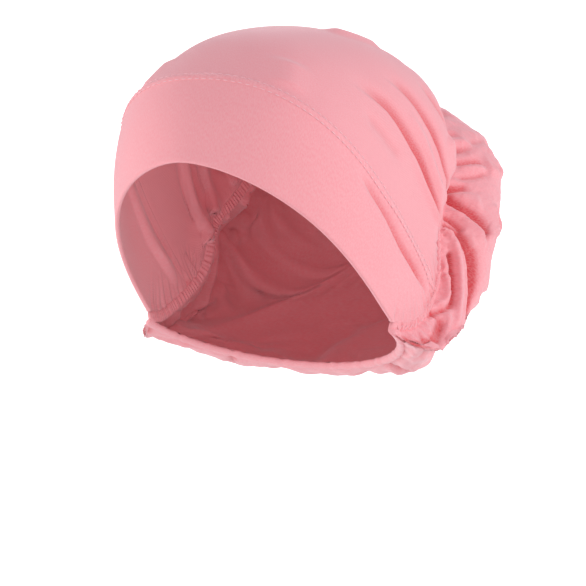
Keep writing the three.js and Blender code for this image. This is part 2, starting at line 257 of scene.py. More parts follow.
# Crown of the cap. Its folds and the band's are places as (turn, back): turn is 1 at the left ear and 0 at the middle,
# back is -1 at the band's front edge, 0 at the seam and 1 at the elastic. They are repeated on the right.
crown = {
    "columns": 420,
    "rows": 220,
    "folds": [
        {
            "path": [
                (0.6, -0.15), (0.7, -0.19), (0.75, -0.2), (0.8, -0.23), (0.84, -0.245), (0.89, -0.21),
                (0.94, -0.18), (1, -0.15),
            ],
            "lift": (-1.4, -4.2), "width": (2.6, 3), "lean": 0.7,
        },
        {
            "path": [(0.72, -0.03), (0.78, -0.03), (0.83, -0.05), (0.87, -0.06), (0.92, -0.05), (0.97, -0.06)],
            "lift": (0.6, 1.2), "width": (2.5, 3),
        },
        {
            "path": [
                (0.42, 0.24), (0.5, 0.305), (0.55, 0.352), (0.61, 0.384), (0.66, 0.41), (0.71, 0.459),
                (0.75, 0.497), (0.79, 0.541), (0.824, 0.597), (0.865, 0.71), (0.885, 0.84), (0.89, 0.96),
            ],
            "lift": (-1.5, -6.5), "width": (3.6, 2.6), "soft": (0.2, 0.02), "lean": 0.8,
        },
        {
            "path": [(0.68, 0.38), (0.732, 0.415), (0.77, 0.45), (0.81, 0.51), (0.845, 0.59), (0.88, 0.69)],
            "lift": (0.8, 2.4), "width": (2.2, 1.6),
        },
        {
            "path": [(0.56, 0.45), (0.64, 0.5), (0.72, 0.56), (0.78, 0.65), (0.82, 0.75)],
            "lift": (1, 2), "width": (3.2, 3),
        },
        {
            "path": [
                (0.44, 0.43), (0.524, 0.516), (0.596, 0.572), (0.648, 0.623), (0.7, 0.667), (0.744, 0.72),
                (0.776, 0.811), (0.795, 0.95),
            ],
            "lift": (-1.2, -5.5), "width": (3.6, 2.4), "soft": (0.2, 0.02), "lean": 0.8,
        },
        {"path": [(0.66, 0.6), (0.704, 0.63), (0.744, 0.68), (0.78, 0.77)], "lift": (0.6, 1.6), "width": (2, 1.8)},
        {"path": [(0.53, 0.2), (0.6, 0.233), (0.65, 0.258), (0.7, 0.31)], "lift": (-1, -1), "width": (4, 4)},
        {
            "path": [(0.44, 0.65), (0.52, 0.69), (0.57, 0.75), (0.61, 0.86), (0.63, 0.97)],
            "lift": (-1.2, -3.4), "width": (3.2, 2), "soft": (0.25, 0.02), "lean": 0.6,
        },
        {
            "path": [(0.49, 0.72), (0.52, 0.82), (0.54, 0.95)],
            "lift": (-1, -2.2), "width": (2.4, 1.6), "soft": (0.3, 0.02),
        },
        {
            "path": [(0.14, 0.5), (0.22, 0.74), (0.27, 0.96)],
            "lift": (-1.6, -2.6), "width": (4.5, 2.4), "soft": (0.3, 0.02),
        },
        {
            "path": [(0.3, 0.6), (0.36, 0.78), (0.4, 0.95)],
            "lift": (-0.8, -2.8), "width": (3.5, 2), "soft": (0.3, 0.02),
        },
        {"path": [(0.04, 0.7), (0.05, 0.84), (0.05, 0.96)], "lift": (-0.8, -1.8), "width": (3.5, 2.6)},
    ],
    "forms": [
        {"path": [(0.62, 0.76), (0.65, 0.83), (0.68, 0.9)], "lift": (2.8, 2.8), "width": (4.5, 4.5)},
        {"path": [(0.15, 0.5), (0.2, 0.54), (0.24, 0.61), (0.28, 0.68)], "lift": (3, 2), "width": (3.6, 4)},
        {"path": [(0.33, 0.03), (0.3, 0.1), (0.27, 0.16)], "lift": (1.9, 1.8), "width": (8, 8)},
    ],
    "pucker": 0.0011,
    "puckerPitch": 0.0055,
    "puckerReach": 0.008,
    "flat": (0.42, 0.26),
}


def hoodPlace(turn, back):
    line = bandLine(turn) if back < 0 else crownLine(turn)
    return curveAt(line, (back % 1 if back < 1 else 1) * line[1][-1])


# The rows' paths on both sides of the cap
def foldPaths(rows, at, opposite):
    return [
        (np.array(pathPoints(row, lambda u, v: at(u if side > 0 else opposite(u), v))), row, side)
        for row in rows
        for side in (1, -1)
    ]


hoodFolds, hoodForms = (foldPaths(crown[key], hoodPlace, lambda turn: -turn) for key in ("folds", "forms"))


# Settles points of the band, seam or crown into the folds and the elastic's crease
def settle(p):
    distance, share, _ = nearestOn(gatherSamples, p)
    crease = -creaseAt(share) * np.exp(-((distance / cap["creaseWidth"]) ** 2))
    pucker = ripple(share * gatherLength, crown["puckerPitch"], 3) * np.exp(-distance / crown["puckerReach"])
    pucker *= crown["pucker"] * fade(distance, -0.001, 0.003)
    return p + headNormal(p) * (crease + pucker + foldHeight(hoodFolds + hoodForms, p))[..., None]


# Moves a shape from the middle of the head to the frame's origin
def toFrame(p):
    return p - np.array([0, 0, cap["crownRise"] - cap["jerseyWall"] / 2])


# A grid of cloth from its places and its places on the flat cut, both by row and column. closed joins the first and
# last columns. The painted-shade amount says how deep in a fold each point lies, for the shade painted into its
# colour. inner turns its faces to the head.
def clothGrid(name, places, flat, closed=False, paintedShade=None, inner=False):
    rows, columns = places.shape[0] - 1, places.shape[1] - 1
    bm = bmesh.new()
    uv = bm.loops.layers.uv.new("UVMap")
    shadeLayer = bm.verts.layers.float.new("paintedShade")
    bmesh.ops.create_grid(bm, x_segments=columns, y_segments=rows, size=1, calc_uvs=True)
    cells = [(round((vert.co.y + 1) / 2 * rows), round((vert.co.x + 1) / 2 * columns)) for vert in bm.verts]
    for face in bm.faces:
        face.smooth = True
        for loop in face.loops:
            loop[uv].uv = flat[cells[loop.vert.index]]
    places = toFrame(places)
    for vert, cell in zip(bm.verts, cells):
        vert.co = places[cell]
        vert[shadeLayer] = 0 if paintedShade is None else paintedShade[cell]
    if closed:
        bmesh.ops.remove_doubles(bm, verts=bm.verts, dist=1e-6)
    bmesh.ops.recalc_face_normals(bm, faces=bm.faces)
    middle = Vector(places.reshape(-1, 3).mean(0))
    if (sum(face.normal.dot(face.calc_center_median() - middle) for face in bm.faces) < 0) != inner:
        bmesh.ops.reverse_faces(bm, faces=bm.faces)
    return makeObject(name, bm)


# Places on a flat cut of the given size, for a regular grid
def flatPlaces(us, vs, size):
    return np.stack(np.meshgrid(us * size[0], vs * size[1]), -1)


def makeObject(name, bm):
    mesh = bpy.data.meshes.new(name)
    bm.to_mesh(mesh)
    bm.free()
    piece = bpy.data.objects.new(name, mesh)
    bpy.context.collection.objects.link(piece)
    return piece


# Outward normals of a regular grid of places
def gridNormals(places, outward):
    n = unit(np.cross(np.gradient(places, axis=1), np.gradient(places, axis=0)))
    flip = np.sign(np.sum(n * outward, axis=-1, keepdims=True))
    return n * np.where(flip == 0, 1, flip)


# The inner face of a cloth that is seen from inside too
def makeInside(name, places, outward, flat, closed=False):
    inner = places - gridNormals(places, outward) * cap["jerseyWall"] * 0.8
    return clothGrid(name, inner[::2, ::2], flat[::2, ::2], closed, inner=True)


def hoodGrid(turns, low, high, share, part):
    places = []
    for turn in turns:
        line = bandLine(turn) if part == "band" else crownLine(turn)
        places.append(curveAt(line, mix(low, line[1][-1] - high, share)))
    return settle(np.array(places).transpose(1, 0, 2))


# Painted shade: how deep the folds and the elastic's crease hold the cloth, for its colour, which darkens there in
# place of the shade that falls in them
foldShadeScale = {"hoodDepth": 0.0028, "crease": 0.7, "creaseWidth": 0.0045, "pouchDepth": 0.0031, "pucker": 0.7}


# Amount of painted shade on the band, seam and crown: the depth of the folds plus the elastic's crease
def hoodPaintedShade(p):
    distance, share, _ = nearestOn(gatherSamples, p)
    crease = np.exp(-((distance / foldShadeScale["creaseWidth"]) ** 2)) * fade(np.minimum(share, 1 - share), 0.04, 0.12)
    return np.clip(foldHeight(hoodFolds, p) / -foldShadeScale["hoodDepth"], -0.3, 1.3) + foldShadeScale["crease"] * crease


# The front band, one strip of jersey folded at the front edge
band = {
    "columns": 420,
    "rows": 110,
    "faceRows": 60,
    "wall": 0.0019,
    "fold": 0.0012,
    "faceShare": 0.47,
    "flat": (0.36, 0.104),
}


def makeBand():
    us, vs = np.linspace(0, 1, band["columns"] + 1), np.linspace(0, 1, band["rows"] + 1)
    turns = 1 - 2 * us
    # Down the outside, round the fold and up the inside
    down = np.clip(np.minimum(vs, 1 - vs) / band["faceShare"], 0, 1)
    last = band["faceRows"] - 1
    face = hoodGrid(turns, 0, -0.0005, np.linspace(1, 0, last + 1), "band")
    normals = gridNormals(face, headNormal(face))
    pick = down * last
    low = np.minimum(np.floor(pick).astype(int), last - 1)
    part = (pick - low)[:, None, None]
    base, out = mix(face[low], face[low + 1], part), unit(mix(normals[low], normals[low + 1], part))
    forward = unit(face[-1] - face[-4])
    turnRound = np.clip((0.5 - vs) / 0.03, -1, 1)[:, None, None] * math.pi / 2
    half = mix(band["wall"] / 2, band["fold"], fade(down, 0.85, 1))[:, None, None]
    places = base + (out * np.sin(turnRound) + forward * np.cos(turnRound)) * half
    # Painted shade in the folds, on the band's outer face only
    paintedShade = hoodPaintedShade(base) * (vs < 0.5)[:, None]
    return clothGrid("frontBand", places, flatPlaces(us, vs, band["flat"]), paintedShade=paintedShade)


def makeCrown():
    us, vs = np.linspace(0, 1, crown["columns"] + 1), np.linspace(0, 1, crown["rows"] + 1)
    places = hoodGrid(1 - 2 * us, -0.0005, -0.0012, vs, "crown")
    flat = flatPlaces(us, vs, crown["flat"])
    inside = makeInside("crownInside", places, headNormal(places), flat)
    # The outer crown carries the painted shade of its folds and the elastic's crease; the inside has none
    return clothGrid("crownPanel", places, flat, paintedShade=hoodPaintedShade(places)), inside


# The raised strip over the seam, with a row of stitches near each edge
seam = {
    "columns": 460,
    "around": 20,
    "wall": 0.0026,
    "flat": (0.36, 0.011),
    "stitch": {"length": 0.0027, "gap": 0.0011, "thick": 0.00028},
}


# Places beside the seam: across is the distance from it, backwards over the crown or forwards down the band
def besideSeam(turns, across):
    places = []
    for turn in turns:
        lower, upper = bandLine(turn), crownLine(turn)
        places.append([curveAt(upper, a) if a > 0 else curveAt(lower, lower[1][-1] + a) for a in across])
    return settle(np.array(places).transpose(1, 0, 2))


def makeSeam():
    us, vs = np.linspace(0, 1, seam["columns"] + 1), np.linspace(0, 1, seam["around"] + 1)
    angle = (vs * 2 - 0.5) * math.pi
    across = np.clip(np.sin(angle) * 1.12, -1, 1) * cap["seamWidth"] / 2
    base = besideSeam(1 - 2 * us, across)
    height = np.sign(np.cos(angle)) * np.abs(np.cos(angle)) ** 0.45 * seam["wall"] / 2
    places = base + headNormal(base) * height[:, None, None]
    # The strip takes the painted shade of the folds beneath it
    return clothGrid("bandSeam", places, flatPlaces(us, vs, seam["flat"]), paintedShade=hoodPaintedShade(base))


def makeSeamStitches():
    bm = bmesh.new()
    for across in (-0.39, 0.39):
        line = besideSeam(np.linspace(1, -1, 900), [across * cap["seamWidth"]])[0]
        addStitches(bm, toFrame(line + headNormal(line) * (seam["wall"] / 2 + 0.00006)), **seam["stitch"])
    return makeObject("seamStitches", bm)


# Short threads laid end to end along a line
def addStitches(bm, line, length, gap, thick):
    curve = (line, np.concatenate([[0], np.cumsum(np.linalg.norm(np.diff(line, axis=0), axis=1))]))
    total = curve[1][-1]
    count = int(total / (length + gap))
    for i in range(count):
        middle = (i + 0.5) * total / count
        a, b = (Vector(curveAt(curve, middle + s * length / 2)) for s in (-1, 1))
        addThread(bm, a, b, thick)


def addThread(bm, a, b, thick):
    turn = (b - a).to_track_quat("X", "Z").to_matrix().to_4x4()
    size = Matrix.Diagonal(((b - a).length / 2, thick, thick, 1))
    matrix = Matrix.Translation((a + b) / 2) @ turn @ size @ Matrix.Rotation(math.pi / 2, 4, "Y")
    bmesh.ops.create_uvsphere(bm, u_segments=6, v_segments=4, radius=1, matrix=matrix)


# Places and directions along the elastic's line: back leads away from the crown, out off the head
def gatherFrames(share):
    p = curveAt(gatherCurve, share * gatherLength)
    ahead = curveAt(gatherCurve, np.clip(share + 0.002, 0, 1) * gatherLength)
    behind = curveAt(gatherCurve, np.clip(share - 0.002, 0, 1) * gatherLength)
    out = headNormal(p)
    back = unit(np.cross(unit(ahead - behind), out))
    return p - out * creaseAt(share)[:, None], back, out


# The casing that is shirred on its elastic
elastic = {"columns": 1100, "around": 18, "pitch": 0.0026, "pucker": 0.3, "tip": 0.006, "flat": (0.6, 0.016)}


def makeElastic():
    us, vs = np.linspace(0, 1, elastic["columns"] + 1), np.linspace(0, 1, elastic["around"] + 1)
    p, back, out = gatherFrames(us)
    half, rise = cap["elasticWidth"] / 2 + 0.0008, cap["elasticWall"] / 2
    angle = -vs * 2 * math.pi
    # The two ends round off to a point
    taper = np.sqrt(1 - (1 - np.clip(np.minimum(us, 1 - us) / elastic["tip"], 0, 1)) ** 2)
    gathered = 1 + elastic["pucker"] * ripple(us * gatherLength, elastic["pitch"], 11)[None, :]
    swell = gathered * taper
    x = (np.sign(np.cos(angle)) * np.abs(np.cos(angle)) ** 0.6 * half)[:, None] * taper
    y = (np.sign(np.sin(angle)) * np.abs(np.sin(angle)) ** 0.6 * rise)[:, None] * swell
    middle = p + back * (cap["sewingGap"] + cap["elasticWidth"] / 2)
    places = middle[None] + back[None] * x[..., None] + out[None] * y[..., None]
    # Painted shade: the casing's colour darkens where its puckers draw in, as shade between them
    paintedShade = np.repeat(np.clip(1.15 - gathered, 0, 0.8), len(vs), axis=0).T
    flat = flatPlaces(vs, us, elastic["flat"][::-1])
    return clothGrid("gatherElastic", places.transpose(1, 0, 2), flat, True, paintedShade)


# Zigzag stitches that hold the elastic at the two ear corners
cornerStitch = {"from": 0.004, "to": 0.046, "step": 0.0022, "thick": 0.00024}


def makeCornerStitches():
    bm = bmesh.new()
    for side in (0, 1):
        along = np.arange(cornerStitch["from"], cornerStitch["to"], cornerStitch["step"]) / gatherLength
        p, back, out = gatherFrames(1 - along if side else along)
        zigzag = np.where(np.arange(len(along)) % 2, 0.62, 0.05)[:, None] * cap["elasticWidth"]
        line = p + back * (cap["sewingGap"] + zigzag + cap["elasticWidth"] * 0.15)
        line = [Vector(place) for place in toFrame(line + out * cap["elasticWall"] * 0.56)]
        for a, b in zip(line, line[1:]):
            addThread(bm, a, b, cornerStitch["thick"])
    return makeObject("cornerStitches", bm)


# The pouch: its reaches, how far it stands off its mouth, and its folds as (around, out). around runs along the
# elastic from 0 at the left ear to 0.78 at the right one and back round the nape, out is 0 at the mouth and 1 at the
# middle of the pouch's back. The left side's folds are repeated on the right.
pouch = {
    "columns": 560,
    "rows": 168,
    "reach": 0.154,
    "halfWidth": 0.100,
    "halfHeight": 0.074,
    "backHeight": 0.004,
    "roundness": 0.58,
    "napeReach": 0.056,
    "napeDrop": 0.067,
    "rise": {"ear": 0.058, "side": 0.098, "back": 0.066, "nape": 0.046},
    "napeShare": 0.22,
    "cornerFolds": 0.22,
    "folds": [
        {"path": [(0.297, 0.06), (0.296, 0.12), (0.296, 0.19)], "lift": (-3, -1), "width": (2.4, 2.4)},
        {"path": [(0.286, 0.06), (0.286, 0.14), (0.287, 0.22)], "lift": (1.2, 1), "width": (2.4, 2.8)},
        {"path": [(0.275, 0.06), (0.276, 0.136), (0.279, 0.22)], "lift": (-3.2, -1), "width": (2.6, 2.2)},
        {"path": [(0.284, 0.2), (0.286, 0.3), (0.29, 0.38)], "lift": (-1.4, -1.4), "width": (2, 2.4)},
        {
            "path": [(0.262, 0.06), (0.261, 0.111), (0.263, 0.202), (0.26, 0.26)],
            "lift": (-2.8, -2.2), "width": (2.2, 2),
        },
        {"path": [(0.255, 0.08), (0.257, 0.171), (0.257, 0.25)], "lift": (2, 1.6), "width": (2.2, 2.4)},
        {
            "path": [(0.243, 0.05), (0.246, 0.154), (0.25, 0.211), (0.257, 0.27)],
            "lift": (-1.6, -1.8), "width": (1.6, 1.8),
        },
        {"path": [(0.258, 0.26), (0.258, 0.31), (0.257, 0.36)], "lift": (-1.2, -1.2), "width": (2.6, 2.6)},
        {
            "path": [(0.231, 0.0), (0.231, 0.046), (0.233, 0.094), (0.235, 0.13)],
            "lift": (-5.5, -1.5), "width": (3, 2), "lean": -0.6,
        },
        {"path": [(0.222, 0.02), (0.22, 0.08), (0.212, 0.2)], "lift": (1.5, 2), "width": (2.4, 5)},
        {
            "path": [(0.215, 0.0), (0.212, 0.043), (0.205, 0.092), (0.198, 0.145), (0.182, 0.196), (0.16, 0.26)],
            "lift": (-7.5, -3.5), "width": (3.2, 4.4), "soft": (0.12, 0.16), "lean": 0.8,
        },
        {
            "path": [(0.203, 0.01), (0.198, 0.06), (0.19, 0.11), (0.178, 0.165), (0.158, 0.23)],
            "lift": (2.5, 2), "width": (2, 3),
        },
        {
            "path": [(0.191, 0.0), (0.189, 0.025), (0.184, 0.066), (0.171, 0.11)],
            "lift": (-4.4, -2.5), "width": (1.9, 2.4), "lean": 0.5,
        },
        {"path": [(0.183, 0.01), (0.178, 0.045), (0.17, 0.085)], "lift": (1.8, 1), "width": (1.4, 1.8)},
        {
            "path": [
                (0.177, 0.005), (0.174, 0.05), (0.164, 0.083), (0.15, 0.112), (0.136, 0.135), (0.12, 0.147),
                (0.104, 0.16), (0.084, 0.19),
            ],
            "lift": (-3.5, -6.5), "width": (1.6, 3.6), "soft": (0.1, 0.14), "lean": 0.8,
        },
        {"path": [(0.163, 0.02), (0.158, 0.05), (0.152, 0.07)], "lift": (-2, -1), "width": (1.5, 1.6)},
        {"path": [(0.145, 0.03), (0.141, 0.06), (0.137, 0.088)], "lift": (-1.6, -1), "width": (1.4, 1.6)},
        {"path": [(0.126, 0.02), (0.123, 0.036), (0.119, 0.05)], "lift": (-1.4, -1), "width": (1.5, 1.5)},
        {
            "path": [
                (0.171, 0.015), (0.163, 0.045), (0.154, 0.064), (0.144, 0.076), (0.133, 0.082), (0.123, 0.085),
                (0.111, 0.092), (0.096, 0.1), (0.081, 0.115), (0.064, 0.13),
            ],
            "lift": (2.2, 2.4), "width": (1.8, 2.2), "soft": (0.1, 0.2),
        },
        {
            "path": [
                (0.139, 0.012), (0.129, 0.02), (0.124, 0.028), (0.116, 0.038), (0.107, 0.044), (0.097, 0.046),
                (0.09, 0.036), (0.081, 0.016), (0.076, 0.002),
            ],
            "lift": (2.4, 2.4), "width": (2.2, 1.8), "soft": (0.15, 0.1),
        },
        {
            "path": [
                (0.143, 0.042), (0.134, 0.05), (0.127, 0.055), (0.12, 0.061), (0.11, 0.065), (0.1, 0.068),
                (0.09, 0.07),
            ],
            "lift": (-3.5, -3.5), "width": (1.8, 1.9), "soft": (0.12, 0.2), "lean": 0.5,
        },
        {
            "path": [(0.1, 0.072), (0.096, 0.062), (0.089, 0.046), (0.078, 0.02), (0.066, 0.0)],
            "lift": (-3, -4.5), "width": (1.7, 2.4), "soft": (0.2, 0.02),
        },
        {
            "path": [
                (0.094, 0.062), (0.078, 0.075), (0.06, 0.09), (0.042, 0.104), (0.02, 0.112), (0.0, 0.1),
                (-0.02, 0.07), (-0.045, 0.03),
            ],
            "lift": (2.6, 2.2), "width": (2, 2.2), "soft": (0.15, 0.2),
        },
        {
            "path": [(0.082, 0.055), (0.066, 0.06), (0.049, 0.068), (0.03, 0.074), (0.012, 0.072), (-0.01, 0.045)],
            "lift": (-4, -4.5), "width": (3, 4), "soft": (0.15, 0.15),
        },
        {"path": [(0.04, 0.005), (0.034, 0.03), (0.03, 0.06)], "lift": (-1.8, -1.8), "width": (1.2, 1.6)},
        {"path": [(0.056, 0.005), (0.05, 0.03), (0.042, 0.05)], "lift": (1.6, 1.4), "width": (1.2, 1.6)},
        {"path": [(0.012, 0.0), (0.03, 0.002), (0.038, 0.012), (0.05, 0.03)], "lift": (1.2, 1), "width": (1.2, 1.2)},
        {
            "path": [(0.07, 0.115), (0.045, 0.135), (0.016, 0.145), (-0.01, 0.13), (-0.035, 0.08)],
            "lift": (-2.4, -2.2), "width": (2, 2.4), "lean": 0.4,
        },
        {"path": [(0.0, 0.002), (-0.03, 0.012), (-0.056, 0.012)], "lift": (-2.4, -1.6), "width": (1.6, 2)},
        {
            "path": [(-0.064, 0.01), (-0.061, 0.062), (-0.058, 0.126), (-0.055, 0.165)],
            "lift": (-2.8, -2.4), "width": (1.7, 2), "lean": 0.5,
        },
        {
            "path": [(0.147, 0.142), (0.138, 0.165), (0.128, 0.168), (0.112, 0.152)],
            "lift": (-1.5, -1.5), "width": (5, 5),
        },
        {"path": [(0.33, 0.03), (0.33, 0.14), (0.325, 0.34)], "lift": (-2.6, -1.4), "width": (3, 4)},
        {"path": [(0.36, 0.02), (0.365, 0.14), (0.36, 0.4)], "lift": (-3, -2), "width": (3, 5)},
        {"path": [(0.388, 0.02), (0.386, 0.12), (0.388, 0.3)], "lift": (-2.4, -1.4), "width": (2.4, 4)},
        {"path": [(0.14, 0.3), (0.12, 0.42), (0.06, 0.52)], "lift": (-3, -2), "width": (6, 8)},
        {"path": [(0.28, 0.42), (0.25, 0.54), (0.16, 0.66)], "lift": (-3, -2), "width": (7, 9)},
        {"path": [(0.0, 0.2), (-0.03, 0.36), (-0.06, 0.55)], "lift": (-2.5, -2), "width": (5, 8)},
        {"path": [(-0.08, 0.02), (-0.09, 0.2), (-0.1, 0.42)], "lift": (-2, -2), "width": (4, 6)},
    ],
    "forms": [
        {
            "path": [(0.31, 0.3), (0.335, 0.3), (0.36, 0.3), (0.39, 0.3)],
            "lift": (3.5, 4.5), "width": (15, 15), "soft": (0.3, 0.02),
        },
        {
            "path": [(0.27, 0.41), (0.24, 0.42), (0.22, 0.4), (0.19, 0.38)],
            "lift": (-3.5, -3.5), "width": (13, 13), "soft": (0.2, 0.2),
        },
        {
            "path": [(0.12, 0.33), (0.095, 0.31), (0.07, 0.28), (0.05, 0.25), (0.03, 0.21), (0.01, 0.17)],
            "lift": (-6.5, -5.5), "width": (12, 10), "soft": (0.3, 0.2),
        },
        {"path": [(-0.04, 0.17), (-0.054, 0.16), (-0.07, 0.14)], "lift": (2, 2), "width": (8, 8)},
        {"path": [(0.258, 0.24), (0.258, 0.32), (0.256, 0.4)], "lift": (3, 3.4), "width": (4, 4)},
        {"path": [(0.284, 0.34), (0.279, 0.39), (0.275, 0.43)], "lift": (-5.4, -5.4), "width": (4.5, 4.5)},
        {"path": [(0.208, 0.28), (0.202, 0.33), (0.198, 0.38)], "lift": (-5, -5), "width": (6, 6)},
        {"path": [(0.165, 0.33), (0.158, 0.36), (0.15, 0.38)], "lift": (-2.4, -2.4), "width": (6, 6)},
        {"path": [(0.112, 0.32), (0.1, 0.34), (0.09, 0.35)], "lift": (-1.8, -1.8), "width": (7, 7)},
    ],
    "pucker": 0.0013,
    "puckerPitch": 0.0065,
    "flatRadius": 0.15,
}


# The pouch's mouth runs behind the elastic from ear to ear and then round the nape. leave leads to where the cloth
# turns back.
def pouchMouth():
    share = np.linspace(0, 1, 401)
    arch = 1 - pouch["napeShare"]
    p, back, out = gatherFrames(np.clip(share / arch, 0, 1))
    p = p + back * (cap["sewingGap"] + cap["elasticWidth"] * 0.8)
    rise = pouch["rise"]
    top = mix(rise["back"], rise["side"], fade(np.abs(p[:, 0]), 0, 0.05))
    stand = mix(rise["ear"], top, fade(p[:, 2], -0.02, 0.06))[:, None]
    leave = (back * 0.4 + out * 0.92) * stand
    corner = p[0]
    angle = (np.clip((share - arch) / pouch["napeShare"], 0, 1) * 2 - 1) * math.pi / 2
    lift = 1 - np.cos(angle)
    nape = np.stack([
        corner[0] * np.sin(angle),
        mix(pouch["napeReach"], corner[1], lift),
        mix(-pouch["napeDrop"], corner[2], lift),
    ], -1)
    napeLeave = np.stack([0.6 * np.sin(angle), np.full_like(angle, 0.5), np.full_like(angle, -0.62)], -1)
    atNape = (share > arch)[:, None]
    p = np.where(atNape, nape, p)
    ring = np.where(atNape, napeLeave * rise["nape"], leave)[:-1]
    # The two directions blend round the ear corners
    for _ in range(30):
        ring = (ring + np.roll(ring, 1, 0) + np.roll(ring, -1, 0)) / 3
    return p, np.vstack([ring, ring[:1]])


def pouchLines():
    p, leave = pouchMouth()
    pole = np.array([0, pouch["reach"], pouch["backHeight"]])
    radial = unit((p - pole) * np.array([1, 0, 1]))
    spread = np.hypot(radial[:, 0] * pouch["halfWidth"], radial[:, 2] * pouch["halfHeight"])[:, None]
    b0, b1, b2, b3 = p, p + leave, pole + radial * spread * pouch["roundness"], np.broadcast_to(pole, p.shape)
    t = np.linspace(0, 1, 90)[:, None, None]
    lines = b0 * (1 - t) ** 3 + 3 * b1 * t * (1 - t) ** 2 + 3 * b2 * t**2 * (1 - t) + b3 * t**3
    reach = np.concatenate([np.zeros((1, 401)), np.cumsum(np.linalg.norm(np.diff(lines, axis=0), axis=-1), 0)])
    return lines, reach / reach[-1]


ringLines, ringReach = pouchLines()


# Share of the pouch's mouth that lies along the elastic
pouchArch = 1 - pouch["napeShare"]


# Places on the smooth pouch, for a grid of around and out
def pouchPlaces(around, out):
    column = np.asarray(around) % 1 * 400
    low = np.minimum(np.floor(column).astype(int), 399)
    places = []
    for j, part in zip(low, column - low):
        line = mix(ringLines[:, j], ringLines[:, j + 1], part)
        reach = mix(ringReach[:, j], ringReach[:, j + 1], part)
        places.append(np.stack([np.interp(out, reach, line[:, k]) for k in range(3)], -1))
    return np.array(places).transpose(1, 0, 2)


pouchFolds, pouchForms = (
    foldPaths(pouch[key], lambda u, out: pouchPlaces([u], [out])[0, 0], lambda u: pouchArch - u)
    for key in ("folds", "forms")
)


# Columns lie closer on the two sides, where the folds are
def pouchColumns(count):
    u = np.linspace(0, 1, 2000)
    close = 1 + 1.6 * (np.exp(-(((u + 0.5) % 1 - 0.62) / 0.13) ** 2) + np.exp(-((u - 0.66) / 0.13) ** 2))
    total = np.concatenate([[0], np.cumsum((close[1:] + close[:-1]) / 2)])
    return np.interp(np.linspace(0, total[-1], count + 1), total, u)


# The smooth pouch settles as real cloth: it is cut larger than its place, held at its mouth and at its sewn folds,
# filled with air and left to hang. Gives how far each place of a grid of twice the fineness moves.
settling = {
    "growth": 0.07,
    "frames": 22,
    "pressure": 1.2,
    "weight": 0.15,
    "held": {"mouth": 1.0, "folds": 0.6, "back": 0.02},
    "most": 0.012,
    "cloth": {
        "pin_stiffness": 1,
        "quality": 5,
        "mass": 0.15,
        "tension_stiffness": 8,
        "compression_stiffness": 8,
        "shear_stiffness": 3,
        "bending_stiffness": 0.02,
        "use_pressure": True,
    },
}


# Rows of places with the given count of columns, twice as many as before
def doubled(places, count):
    wanted, known = np.arange(count) / 2, np.arange(places.shape[1])
    return np.stack([[np.interp(wanted, known, line[:, k]) for line in places] for k in range(3)], -1)


def relaxedPouch(around, out):
    start = pouchPlaces(around[::2] % 1, out[::2])
    cloth = clothGrid("pouchCloth", start, np.zeros((*start.shape[:2], 2)), True)
    tree = kdtree.KDTree(len(cloth.data.vertices))
    for vert in cloth.data.vertices:
        tree.insert(vert.co, vert.index)
    tree.balance()
    start = toFrame(start)
    index = np.array([[tree.find(place)[1] for place in row] for row in start])
    held = settling["held"]
    near = fade(start[..., 0], -0.02, 0.04)
    loose = fade(out[::2], 0.15, 0.35)[:, None] * (1 - near) + fade(out[::2], 0.4, 0.7)[:, None] * near
    weights = mix(held["folds"], held["back"], loose)
    weights[:2] = held["mouth"]
    group = cloth.vertex_groups.new(name="held")
    for i, weight in zip(index.flat, weights.flat):
        group.add([int(i)], float(weight), "REPLACE")
    modifier = cloth.modifiers.new("cloth", "CLOTH")
    modifier.settings.vertex_group_mass = "held"
    for key, value in settling["cloth"].items():
        setattr(modifier.settings, key, value)
    modifier.settings.shrink_min = -settling["growth"]
    modifier.settings.uniform_pressure_force = settling["pressure"]
    modifier.settings.effector_weights.gravity = settling["weight"]
    modifier.collision_settings.use_collision = False
    modifier.point_cache.frame_start, modifier.point_cache.frame_end = 1, settling["frames"]
    scene = bpy.context.scene
    for number in range(1, settling["frames"] + 1):
        scene.frame_set(number)
    settled = cloth.evaluated_get(bpy.context.evaluated_depsgraph_get()).data
    ends = np.empty(len(settled.vertices) * 3)
    settled.vertices.foreach_get("co", ends)
    moved = ends.reshape(-1, 3)[index] - start
    reach = np.linalg.norm(moved, axis=-1, keepdims=True)
    print("pouch settled by", round(float(reach.mean()) * 1000, 1), "mm, most", round(float(reach.max()) * 1000, 1))
    moved *= np.tanh(reach / settling["most"]) * settling["most"] / np.maximum(reach, 1e-9)
    bpy.data.objects.remove(cloth)
    scene.frame_set(1)
    # Twice as fine, then smoothed
    rows, columns = len(out), len(around)
    fine = doubled(doubled(moved, columns).transpose(1, 0, 2), rows).transpose(1, 0, 2)
    for _ in range(2):
        ring = fine[:, :-1]
        ring = (np.roll(ring, 1, 1) + 2 * ring + np.roll(ring, -1, 1)) / 4
        fine = np.concatenate([ring, ring[:, :1]], 1)
        fine[1:-1] = (fine[:-2] + 2 * fine[1:-1] + fine[2:]) / 4
    return fine


